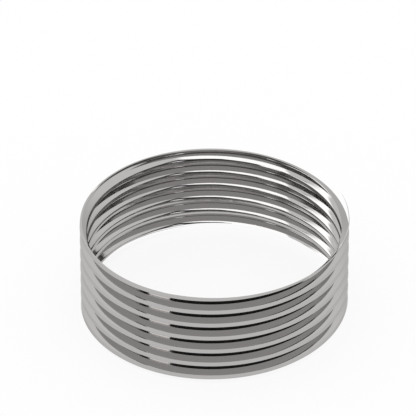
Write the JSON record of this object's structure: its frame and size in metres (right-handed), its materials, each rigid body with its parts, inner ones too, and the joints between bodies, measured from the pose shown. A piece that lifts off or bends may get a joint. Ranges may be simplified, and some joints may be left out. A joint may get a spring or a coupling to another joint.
{
  "type": "antenna nut",
  "caption": "Round chromed nut with a domed head, spanner slots, a stepped barrel and a fine thread in its bore.",
  "frame": {"origin": "centre of the foot, on the nut's axis, where the barrel stands", "axes": "+Z along the nut's axis, up towards its domed head; the spanner slots run along X and Y"},
  "size_m": [0.0214, 0.0214, 0.0125],
  "materials": {
    "chromed_metal": "polished plating over turned metal, with saw marks in the slots"
  },
  "bodies": {
    "root": {"antenna_nut": "chromed_metal"}
  },
  "joints": []
}
